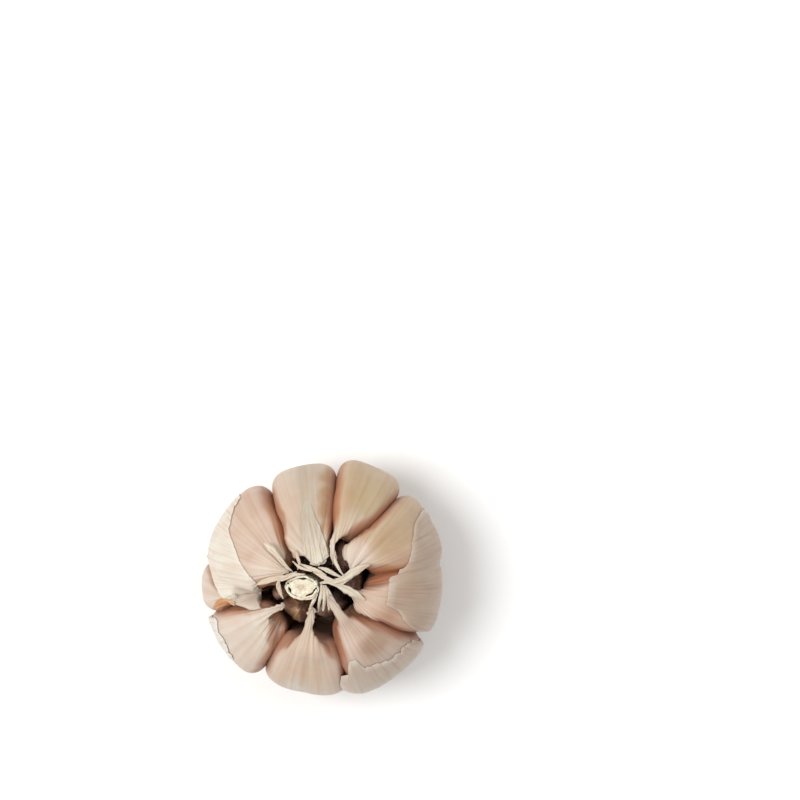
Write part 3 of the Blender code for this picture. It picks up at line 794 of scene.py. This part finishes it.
# Cut flower stalk: dry pith inside a few dry leaf sheaths, sliced across. It gives matt
# cream with faint lengthwise fibres and a slightly rough cut.
def makeStalkMaterial():
    material, tree, shader = newMaterial("sliced dry stalk", {
        "Roughness": 0.7, "IOR": 1.45, "Subsurface Weight": 0.1, "Subsurface Scale": 0.0015,
    })
    painted = addNode(tree, "ShaderNodeAttribute", {"attribute_name": "paint"})
    where = addNode(tree, "ShaderNodeTexCoord")
    # fibres about 0.4 mm apart across, long up the stalk
    stretch = addNode(tree, "ShaderNodeMapping", {"Scale": (1.0, 1.0, 0.12)},
                      {"Vector": (where, "Object")})
    fibres = addNode(tree, "ShaderNodeTexNoise", {"Scale": 2400.0, "Detail": 2.0},
                     {"Vector": (stretch, "Vector")})
    blotch = addNode(tree, "ShaderNodeTexNoise", {"Scale": 420.0, "Detail": 3.0},
                     {"Vector": (where, "Object")})
    fibreRamp = addNode(tree, "ShaderNodeValToRGB", {}, {0: (fibres, 0)}, [(0.36, 0.0), (0.6, 1.0)])
    blotchRamp = addNode(tree, "ShaderNodeValToRGB", {}, {0: (blotch, 0)}, [(0.35, 0.0), (0.65, 1.0)])
    darker = addNode(tree, "ShaderNodeMix", {**multiply, 0: 0.45, 7: opaque("C9AE86")},
                     {6: (painted, "Color")})
    fibreMix = addNode(tree, "ShaderNodeMix", blend,
                       {0: (fibreRamp, 0), 6: (darker, 2), 7: (painted, "Color")})
    yellow = addNode(tree, "ShaderNodeMix", {**multiply, 0: 0.3, 7: opaque("E8D3A6")},
                     {6: (fibreMix, 2)})
    final = addNode(tree, "ShaderNodeMix", blend,
                    {0: (blotchRamp, 0), 6: (fibreMix, 2), 7: (yellow, 2)})
    tree.links.new(final.outputs[2], shader.inputs["Base Color"])
    bump = addNode(tree, "ShaderNodeBump", {"Strength": 0.4, "Distance": 0.0002},
                   {"Height": (fibres, 0)})
    tree.links.new(bump.outputs[0], shader.inputs["Normal"])
    return material


stalkMaterial = makeStalkMaterial()

# The stalk's core and the sheaths round it: half width and half depth at the cut, in mm,
# the height of the cut, and the turns where a sheath starts and ends, in degrees.
stalk = {
    "middle": (-4.5, -0.35),    # of the cut, seen from above
    "foot": (-0.8, 0.0),
    "core": {"half": (3.2, 2.15), "height": 39.6, "colour": "EEE7D6", "pith": "BFA276"},
    "sheaths": [
        {"half": (3.25, 2.2), "height": 39.8, "turns": (5, 150),
         "thickness": 0.45, "shift": (0.0, 0.12)},
        {"half": (3.3, 2.2), "height": 39.5, "turns": (165, 350),
         "thickness": 0.5, "shift": (-0.05, -0.1)},
        {"half": (3.65, 2.55), "height": 39.1, "turns": (215, 400),
         "thickness": 0.4, "shift": (0.05, -0.15)},
        {"half": (3.75, 2.6), "height": 37.6, "turns": (80, 240),
         "thickness": 0.3, "shift": (-0.2, 0.1)},
    ],
    "colour": "E9E1CC", "rim": "F3EEDF", "low": "C9A77C",
    "wobble": 0.28,
}


def stalkLine(height):
    # middle of the stalk at each height
    share = smoothStep(4, 39, height)
    x = stalk["foot"][0] + (stalk["middle"][0] - stalk["foot"][0]) * share
    y = stalk["foot"][1] + (stalk["middle"][1] - stalk["foot"][1]) * share
    return x, y


def makeStalkCore():
    core = stalk["core"]
    bpy.ops.object.select_all(action="DESELECT")
    bpy.ops.mesh.primitive_uv_sphere_add(segments=72, ring_count=64, radius=1)
    piece = bpy.context.object
    piece.name = "stalk_core"
    unit = readPoints(piece) * mm
    latitude = np.degrees(np.arcsin(np.clip(unit[:, 2], -1, 1)))
    angle = np.arctan2(unit[:, 1], unit[:, 0])
    # the ball's upper third becomes the flat cut, the rest the shaft
    cut = np.clip((latitude - 40) / 50, 0, 1)
    away = np.where(latitude > 40, 1 - cut, smoothStep(-90, -70, latitude))
    height = 5 + (core["height"] - 5) * np.clip((latitude + 90) / 130, 0, 1)
    x, y = stalkLine(height)
    spread = 0.45 + 0.55 * smoothStep(24, 38, height)
    wave = away * (1 + 0.10 * np.sin(3 * angle + 0.6) + 0.06 * np.sin(7 * angle))
    points = np.stack([x + np.cos(angle) * core["half"][0] * spread * wave,
                       y + np.sin(angle) * core["half"][1] * (0.5 + spread * 0.5) * wave, height], axis=1)
    rough = 0.35 * noiseAt(points * 1.1, 3.3) - 0.5 * smoothStep(0.7, 0.1, away)
    points[:, 2] += rough * smoothStep(0.0, 0.1, cut)
    writePoints(piece, points)
    colour = np.array(hexColour(core["colour"])) * np.ones((len(points), 1))
    # the middle of the cut, where it dips, is painted a darker tan
    hollow = (smoothStep(0.5, 0.1, away) * (cut > 0) * 0.5)[:, None]
    colour = colour * (1 - hollow) + np.array(hexColour(core["pith"])) * hollow
    setAttribute(piece, "paint", "FLOAT_COLOR", colour)
    activate(piece)
    bpy.ops.object.shade_smooth()
    piece.data.materials.append(stalkMaterial)
    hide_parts("central_stem")
    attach(piece, "root")


def makeSheath(index, look):
    piece, across, up = newGrid("stalk_sheath_" + str(index), 90, 44)
    seed = index * 5.1
    turn = np.radians(look["turns"][0] + (look["turns"][1] - look["turns"][0]) * across)
    height = 12 + (look["height"] - 12) * up
    torn = 0.35 * noiseAt(np.stack([across * 9, 0 * up, 0 * up], axis=1), seed)
    height = height + torn * smoothStep(0.9, 1, up)
    x, y = stalkLine(height)
    spread = 0.55 + 0.45 * smoothStep(24, 38, height)
    around = np.stack([np.cos(turn) * 2, np.sin(turn) * 2, height * 0.08], axis=1)
    dent = 1 + stalk["wobble"] * 0.4 * noiseAt(around, seed)
    rip = 0.12 * noiseAt(np.stack([across * 40, up * 3, 0 * up], axis=1), seed)
    wide = look["half"][0] * spread * dent + rip
    deep = look["half"][1] * spread * dent + rip
    x, y = x + look["shift"][0], y + look["shift"][1]
    points = np.stack([x + wide * np.cos(turn), y + deep * np.sin(turn), height], axis=1)
    writePoints(piece, points)
    edge = smoothStep(0.95, 1.0, up)[:, None]
    low = smoothStep(0.8, 0.2, up)[:, None]
    colour = np.array(hexColour(stalk["colour"])) * (1 - edge) + np.array(hexColour(stalk["rim"])) * edge
    colour = colour * (1 - low) + np.array(hexColour(stalk["low"])) * low
    veins = np.stack([np.cos(turn) * 9, np.sin(turn) * 9, up * 1.5], axis=1)
    finishSheet(piece, look["thickness"], colour, veins, material=stalkMaterial)


makeStalkCore()
for index, look in enumerate(stalk["sheaths"]):
    makeSheath(index, look)
print("stalk made")


# Root plate.

# Basal plate: a disc of corky stem with the stumps of dried roots. It gives matt light
# brown, rougher and greyer underneath.
def makeCork():
    material, tree, shader = newMaterial("dry corky root plate", {"Roughness": 0.85, "IOR": 1.45})
    where = addNode(tree, "ShaderNodeTexCoord")
    # grains about 0.6 mm, pits about 1.5 mm
    grain = addNode(tree, "ShaderNodeTexNoise", {"Scale": 1600.0, "Detail": 3.0},
                    {"Vector": (where, "Object")})
    pits = addNode(tree, "ShaderNodeTexVoronoi", {"Scale": 650.0}, {"Vector": (where, "Object")})
    patchy = addNode(tree, "ShaderNodeTexNoise", {"Scale": 240.0, "Detail": 2.0},
                     {"Vector": (where, "Object")})
    browns = addNode(tree, "ShaderNodeValToRGB", {}, {0: (patchy, 0)},
                     [(0.3, "8A6B47"), (0.5, "B59670"), (0.7, "D0B892")])
    grainRamp = addNode(tree, "ShaderNodeValToRGB", {}, {0: (grain, 0)}, [(0.35, 0.0), (0.65, 1.0)])
    darker = addNode(tree, "ShaderNodeMix", {**multiply, 0: 0.5, 7: opaque("9A7A55")},
                     {6: (browns, 0)})
    final = addNode(tree, "ShaderNodeMix", blend,
                    {0: (grainRamp, 0), 6: (darker, 2), 7: (browns, 0)})
    tree.links.new(final.outputs[2], shader.inputs["Base Color"])
    bumpPits = addNode(tree, "ShaderNodeBump", {"Strength": 0.5, "Distance": 0.0005},
                       {"Height": (pits, 0)})
    bump = addNode(tree, "ShaderNodeBump", {"Strength": 0.5, "Distance": 0.0003},
                   {"Height": (grain, 0), "Normal": (bumpPits, 0)})
    tree.links.new(bump.outputs[0], shader.inputs["Normal"])
    return material


cork = makeCork()
rootPlate = nodes["root_plate"]
rootPlate.data.materials.clear()
rootPlate.data.materials.append(cork)

# Trimmed root stumps: how many, how long and thick, how far out and how high, in mm.
roots = {"count": 84, "length": (1.4, 3.0), "thickness": (0.5, 0.85), "inner": 5.6, "outer": 7.3,
         "height": (0.95, 2.0), "lowest": 0.05}
goldenTurn = 137.5  # degrees from one stump to the next, so none line up


def makeRoots():
    chance = random.Random(11)
    made = []
    for index in range(roots["count"]):
        turn = math.radians(index * goldenTurn)
        radius = roots["inner"] + (roots["outer"] - roots["inner"]) * chance.random()
        length = chance.uniform(*roots["length"])
        thick = chance.uniform(*roots["thickness"])
        bpy.ops.object.select_all(action="DESELECT")
        bpy.ops.mesh.primitive_cone_add(vertices=7, radius1=thick / 2 * mm, radius2=thick * 0.3 * mm,
                                        depth=length * mm, end_fill_type="NGON")
        root = bpy.context.object
        bpy.ops.object.mode_set(mode="EDIT")
        bpy.ops.mesh.select_all(action="SELECT")
        bpy.ops.mesh.subdivide(number_cuts=1)
        bpy.ops.object.mode_set(mode="OBJECT")
        points = readPoints(root)
        bend = chance.uniform(-0.16, 0.16)
        points[:, 0] += bend * (points[:, 2] + length / 2) ** 2 / 2
        writePoints(root, points)
        lean = math.radians(chance.uniform(84, 112))
        z = chance.uniform(*roots["height"])
        root.rotation_euler = (0, lean, turn + chance.uniform(-0.3, 0.3))
        root.location = (radius * math.cos(turn) * mm, radius * math.sin(turn) * mm, z * mm)
        made.append(root)
    bpy.ops.object.select_all(action="DESELECT")
    for root in made:
        root.select_set(True)
    bpy.context.view_layer.objects.active = made[0]
    bpy.ops.object.join()
    bpy.ops.object.transform_apply(location=True, rotation=True, scale=True)
    piece = bpy.context.object
    piece.name = "root_stumps"
    points = readPoints(piece)
    points[:, 2] = np.maximum(points[:, 2], roots["lowest"])
    writePoints(piece, points)
    bpy.ops.object.shade_smooth()
    piece.data.materials.append(cork)
    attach(piece, "root")


makeRoots()
print("root plate made")


# Floor, lights and camera.

studio = {"keyPower": 12.0, "fillPower": 2.0, "worldStrength": 0.6, "floorColour": "F9F9F8",
          "camera": (0.0192, 0.0450, 0.577), "lens": 100}


def makeFloor():
    bpy.ops.mesh.primitive_plane_add(size=1.6, location=(0.018, 0.042, 0))
    floor = bpy.context.object
    floor.name = "paper_floor"
    material, tree, shader = newMaterial("matt white paper floor", {"Roughness": 0.9})
    shader.inputs["Base Color"].default_value = opaque(studio["floorColour"])
    floor.data.materials.append(material)


def addArea(name, place, size, power):
    light = bpy.data.objects.new(name, bpy.data.lights.new(name, "AREA"))
    light.data.shape = "DISK"
    light.data.size = size
    light.data.energy = power
    light.location = place
    light.rotation_euler = (-Vector(place)).to_track_quat("-Z", "Y").to_euler()
    bpy.context.scene.collection.objects.link(light)


def makeStudio():
    makeFloor()
    addArea("key_light", (-0.7, 0.1, 1.2), 0.7, studio["keyPower"])
    addArea("fill_light", (0.5, 0.5, 1.0), 0.8, studio["fillPower"])
    world = bpy.data.worlds.new("soft_room")
    world.use_nodes = True
    background = world.node_tree.nodes["Background"]
    background.inputs["Strength"].default_value = studio["worldStrength"]
    background.inputs["Color"].default_value = (1, 1, 1, 1)
    bpy.context.scene.world = world
    camera = bpy.data.objects.new("camera", bpy.data.cameras.new("camera"))
    camera.data.lens = studio["lens"]
    camera.data.sensor_width = 36
    camera.location = studio["camera"]
    camera.rotation_euler = (0, 0, 0)
    bpy.context.scene.collection.objects.link(camera)
    bpy.context.scene.camera = camera
    bpy.context.scene.view_settings.view_transform = "Standard"


makeStudio()

print("scene ready")
